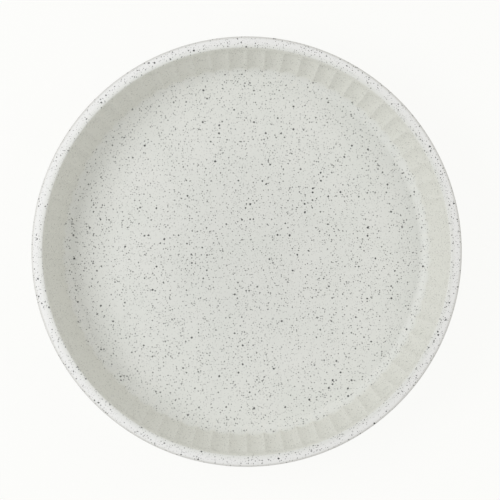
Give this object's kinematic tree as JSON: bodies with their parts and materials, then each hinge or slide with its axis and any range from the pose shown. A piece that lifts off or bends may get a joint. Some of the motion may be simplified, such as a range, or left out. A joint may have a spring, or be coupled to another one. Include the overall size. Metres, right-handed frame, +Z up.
{
  "type": "quiche dish",
  "caption": "Round shallow baking dish with a finely fluted, outward-leaning wall, a plain rounded lip and a flat floor, for quiches and tarts.",
  "frame": {"origin": "centre of the circle that the foot ring stands on", "axes": "+Z up along the dish's axis; a ridge between two flutes lies in the +X direction"},
  "size_m": [0.28, 0.28, 0.04],
  "materials": {
    "bare_stoneware": "matt, dry, unglazed buff stoneware with fine iron specks",
    "speckled_glaze": "satin, warm white glaze with dark iron specks"
  },
  "bodies": {
    "root": {"stoneware_body": "bare_stoneware", "glaze_coat": "speckled_glaze", "underside_glaze": "speckled_glaze"}
  },
  "joints": []
}
